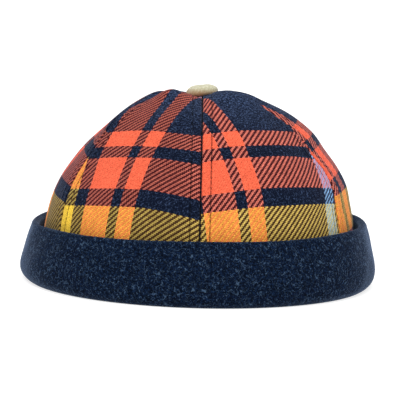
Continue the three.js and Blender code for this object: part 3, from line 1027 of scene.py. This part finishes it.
def make_cuff(material):
    """The turned-up cuff: one doubled band swept round the ellipse, with its joining seam at
    the back, a soft waviness that grows towards the rim and a rim that rises towards +X."""
    section, pocket_floor, rim_outer = cuff_section()
    perimeter = ELLIPSE_PERIMETER * CUFF_HALF_WIDTH
    near_seam = np.concatenate((-CUFF_SEAM[:0:-1], CUFF_SEAM)) / perimeter + 0.5
    rest = np.arange(CUFF_COLUMNS) / CUFF_COLUMNS
    rest = rest[np.abs(rest - 0.5) * perimeter > CUFF_SEAM[-1] + CUFF_SEAM_MARGIN]
    around = np.sort(np.concatenate((rest, near_seam)))
    azimuth = azimuth_at(around)[None, :]
    radius = section[:, 0][:, None]
    height = section[:, 1][:, None]
    free = np.clip((height - pocket_floor) / (CUFF_HEIGHT - pocket_floor), 0.0, None)

    outward = np.stack((np.sin(azimuth), -np.cos(azimuth), np.zeros_like(azimuth)), axis=-1)
    sway = waves(outward * CUFF_WAVE_RADIUS, *CUFF_SWAY)
    bob = waves(outward * CUFF_WAVE_RADIUS, *CUFF_BOB)
    leg_edge = rim_outer - CUFF_THICKNESS - LEG_MARGIN
    outside = 1 - smooth_step(leg_edge - radius, 0.0, LEG_FADE)
    seam = np.abs(around - 0.5)[None, :] * perimeter
    leg = np.arange(len(section))[:, None]
    face = (leg > 0) & (leg < int(np.argmax(section[:, 1])) + 2)
    groove = np.where(face, CUFF_SEAM_DEPTH * np.exp(-(seam / CUFF_SEAM_WIDTH) ** 2), 0.0)
    lean = (CUFF_LEAN * np.maximum(np.sin(azimuth), 0.0) ** 2
            * smooth_step(height, *LEAN_HEIGHTS))
    spread = radius + (sway * free + lean) * outside - groove
    points = np.stack((spread * np.sin(azimuth), -DEPTH_RATIO * spread * np.cos(azimuth),
                       height + (RIM_RISE * np.sin(azimuth) + bob * outside) * free), axis=-1)
    uneven = (waves(points, *CUFF_WAVES) * smooth_step(height, *CUFF_WAVE_HEIGHTS) * outside
              * face)
    points = points + outward * uneven[..., None]

    rows = len(section)
    columns = len(around)
    lengths = along_curve(np.vstack((section, section[:1])))
    # the seam of the cloth coordinates is one more row and column of points
    points = np.vstack((points, points[:1]))
    points = np.concatenate((points, points[:, :1]), axis=1)
    across = np.concatenate((around, [1.0])) * perimeter
    cloth = np.stack(np.broadcast_arrays(across[None, :], lengths[:, None]), axis=-1)
    faces = grid_faces(rows + 1, columns + 1, 0)
    made = make_object("melton_cuff", points.reshape(-1, 3), faces, material,
                       cloth=cloth.reshape(-1, 2))
    weld(made)
    return made


# Button

def make_button(material):
    """The covered button: a cloth dome drawn round a rounded edge, and its plain shank."""
    radius = (BUTTON_HIGH[1] - BUTTON_LOW[1]) / 2
    face = catmull_rom([(share * radius, height * BUTTON_THICKNESS)
                        for share, height in BUTTON_OUTLINE], 8)
    section = np.vstack(((SHANK_RADIUS, -SHANK_DEPTH), (SHANK_RADIUS, 0.0), face[:-1]))
    rows = len(section)
    angles = np.arange(BUTTON_SIDES) / BUTTON_SIDES * 2 * math.pi
    rings = np.stack((section[:, :1] * np.cos(angles), section[:, :1] * np.sin(angles),
                      np.broadcast_to(section[:, 1:], (rows, BUTTON_SIDES))), axis=-1)
    lump = waves(rings, *BUTTON_LUMPS) * smooth_step(rings[..., 2], *BUTTON_LUMP_HEIGHTS)
    rings = rings * (1 + lump[..., None] / radius)
    points = np.vstack((rings.reshape(-1, 3), (0, 0, -SHANK_DEPTH), (0, 0, BUTTON_THICKNESS)))
    bottom = rows * BUTTON_SIDES
    top = bottom + 1
    last_row = bottom - BUTTON_SIDES
    faces = grid_faces(rows, BUTTON_SIDES, 0, closed_columns=True).tolist()
    for side in range(BUTTON_SIDES):
        following = (side + 1) % BUTTON_SIDES
        faces.append([bottom, following, side])
        faces.append([top, last_row + side, last_row + following])
    turned = points @ np.array(Matrix.Rotation(-BUTTON_TILT, 3, "Y")).T
    turned[:, 2] += BUTTON_HIGH[2] - turned[:, 2].max()
    return make_object("covered_button", turned, faces, material)


# Sewing

def stitch_tree(material):
    """A tree of nodes that lays stitches end to end along the edges of a mesh of lines."""
    tree = bpy.data.node_groups.new("stitches", "GeometryNodeTree")
    tree.interface.new_socket("Geometry", in_out="INPUT", socket_type="NodeSocketGeometry")
    for name in ("Pitch", "Length", "Thickness"):
        tree.interface.new_socket(name, in_out="INPUT", socket_type="NodeSocketFloat")
    tree.interface.new_socket("Geometry", in_out="OUTPUT", socket_type="NodeSocketGeometry")
    given = add(tree, "NodeGroupInput")
    curve = add(tree, "GeometryNodeMeshToCurve", {0: given.outputs["Geometry"]})
    spaced = add(tree, "GeometryNodeCurveToPoints",
                 {"Curve": curve, "Length": given.outputs["Pitch"]}, mode="LENGTH")
    half_length = add(tree, "ShaderNodeMath", {0: given.outputs["Length"], 1: 0.5},
                      operation="MULTIPLY")
    half_thick = add(tree, "ShaderNodeMath", {0: given.outputs["Thickness"], 1: 0.5},
                     operation="MULTIPLY")
    ball = add(tree, "GeometryNodeMeshUVSphere", {"Segments": 8, "Rings": 5, "Radius": 1.0})
    size = add(tree, "ShaderNodeCombineXYZ", {0: half_thick, 1: half_thick, 2: half_length})
    stitch = add(tree, "GeometryNodeTransform", {"Geometry": ball, "Scale": size})
    placed = add(tree, "GeometryNodeInstanceOnPoints",
                 {"Points": spaced.outputs["Points"], "Instance": stitch,
                  "Rotation": spaced.outputs["Rotation"]})
    real = add(tree, "GeometryNodeRealizeInstances", {0: placed})
    smooth = add(tree, "GeometryNodeSetShadeSmooth", {0: real})
    coloured = add(tree, "GeometryNodeSetMaterial", {"Geometry": smooth, "Material": material})
    add(tree, "NodeGroupOutput", {0: coloured})
    return tree


def seam_lines(in_seams):
    """Points and edges of a line in each seam, or of one beside both edges of each gore."""
    points = []
    edges = []
    along = np.linspace(*SEWN, SEWN_POINTS)
    radius, height, _ = outline_at(along)
    width = gore_width(radius)
    inset = STITCH_OFFSET * edge_shrink(width) / width
    shares = (np.zeros_like(inset),) if in_seams else (inset, 1 - inset)
    in_groove = (TOPSTITCH_RISE - STITCH_GROOVE) * smooth_step(radius, *SMOOTH_ROUND_BUTTON)
    lift = -OVERCAST_AND_SHADOW_DEPTH if in_seams else in_groove
    for number in range(GORES):
        for share in shares:
            around = wandered((number + share) / GORES, along)
            line = gore_base(around, along, share, number)
            out = lift + uneven_cloth(line, number, radius, height)
            first = len(points)
            points.extend(line + crown_normal(around, along) * out[:, None])
            edges.extend((i, i + 1) for i in range(first, first + SEWN_POINTS - 1))
    return np.array(points), edges


def make_sewing(name, in_seams, sizes, tree):
    """One kind of the crown's sewing as a plain mesh."""
    points, edges = seam_lines(in_seams)
    mesh = bpy.data.meshes.new("seam_lines")
    mesh.from_pydata((points * MM).tolist(), edges, [])
    lines = bpy.data.objects.new("seam_lines", mesh)
    SCENE.collection.objects.link(lines)
    modifier = lines.modifiers.new("stitches", "NODES")
    modifier.node_group = tree
    for item in tree.interface.items_tree:
        if item.in_out == "INPUT" and item.name in sizes:
            modifier[item.identifier] = sizes[item.name] * MM
    evaluated = lines.evaluated_get(bpy.context.evaluated_depsgraph_get())
    plain = bpy.data.meshes.new_from_object(evaluated)
    lines.modifiers.clear()
    bpy.data.objects.remove(lines)
    made = bpy.data.objects.new(name, plain)
    plain.name = name
    SCENE.collection.objects.link(made)
    return made


# Floor, light and camera

def make_floor():
    """A plain pale floor, lit from below like a studio's light table."""
    material = new_material("pale_floor", {
        "Base Color": linear("#B4B4B4"), "Roughness": 0.9, "Emission Color": grey(1.0),
        "Emission Strength": 0.7})[0]
    corners = [(x * FLOOR_REACH, y * FLOOR_REACH, 0)
               for x, y in ((-1, -1), (1, -1), (1, 1), (-1, 1))]
    floor = make_object("floor", corners, [(0, 1, 2, 3)], material)


def make_light():
    """Soft studio light: a bright even room, a broad key from the front left, a fill from the
    right and a weak light from behind."""
    world = bpy.data.worlds.new("studio")
    world.use_nodes = True
    SCENE.world = world
    background = world.node_tree.nodes["Background"]
    background.inputs["Color"].default_value = grey(1.0)
    background.inputs["Strength"].default_value = 0.7
    for name, (azimuth, elevation, strength, spread) in LIGHTS.items():
        lamp = bpy.data.lights.new(name, "SUN")
        lamp.energy = strength
        lamp.angle = math.radians(spread)
        holder = bpy.data.objects.new(name, lamp)
        azimuth, elevation = math.radians(azimuth), math.radians(elevation)
        towards = Vector((math.sin(azimuth) * math.cos(elevation),
                          -math.cos(azimuth) * math.cos(elevation), math.sin(elevation)))
        holder.rotation_euler = towards.to_track_quat("Z", "Y").to_euler()
        SCENE.collection.objects.link(holder)


def make_camera():
    """The camera at the photograph's angle, its target at the photograph's pixel."""
    azimuth = math.radians(CAMERA_AZIMUTH)
    elevation = math.radians(CAMERA_ELEVATION)
    roll = math.radians(CAMERA_ROLL)
    target = Vector((0.0, 0.0, CAMERA_TARGET_HEIGHT))
    back = Vector((math.sin(azimuth) * math.cos(elevation),
                   -math.cos(azimuth) * math.cos(elevation), math.sin(elevation)))
    right = Vector((0.0, 0.0, 1.0)).cross(back).normalized()
    up = back.cross(right)
    camera = bpy.data.cameras.new("camera")
    camera.sensor_width = SENSOR
    camera.lens = FOCAL_PIXELS / FRAME_PIXELS * SENSOR
    camera.clip_start = 0.05
    camera.clip_end = 200.0
    holder = bpy.data.objects.new("camera", camera)
    SCENE.collection.objects.link(holder)
    rolled_up = up * math.cos(roll) - right * math.sin(roll)
    rolled_right = right * math.cos(roll) + up * math.sin(roll)
    scale = CAMERA_DISTANCE / FOCAL_PIXELS
    aim = (target - rolled_right * (TARGET_PIXEL[0] - FRAME_PIXELS / 2) * scale
           + rolled_up * (TARGET_PIXEL[1] - FRAME_PIXELS / 2) * scale)
    eye = target + back * CAMERA_DISTANCE
    out = (eye - aim).normalized()
    side = rolled_up.cross(out).normalized()
    top = out.cross(side)
    holder.matrix_world = Matrix.Translation(eye) @ Matrix(
        (side, top, out)).transposed().to_4x4()
    SCENE.camera = holder


SCENE.view_settings.view_transform = "Standard"
make_camera()
make_floor()
make_light()

TARTAN = tartan_wool()
MELTON = melton_wool()
KHAKI = khaki_wool()
THREAD = sewing_thread()

for gore_number in range(GORES):
    gore = make_gore(gore_number, TARTAN)
    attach(gore, BODY)
    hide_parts(f"crown_gore_{gore_number + 1}")

STITCHES = stitch_tree(THREAD)
# the overcast thread in the seams is also a dark stand-in for painted shadow
for sewing_name, lies_in_seams, sewing_sizes in (("topstitching", False, TOPSTITCH),
                                                 ("seam_overcast_and_shadow", True, OVERCAST_AND_SHADOW)):
    sewing = make_sewing(sewing_name, lies_in_seams, sewing_sizes, STITCHES)
    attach(sewing, BODY)

cuff = make_cuff(MELTON)
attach(cuff, BODY)
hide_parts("cuff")

button = make_button(KHAKI)
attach(button, BODY)
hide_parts("top_button")
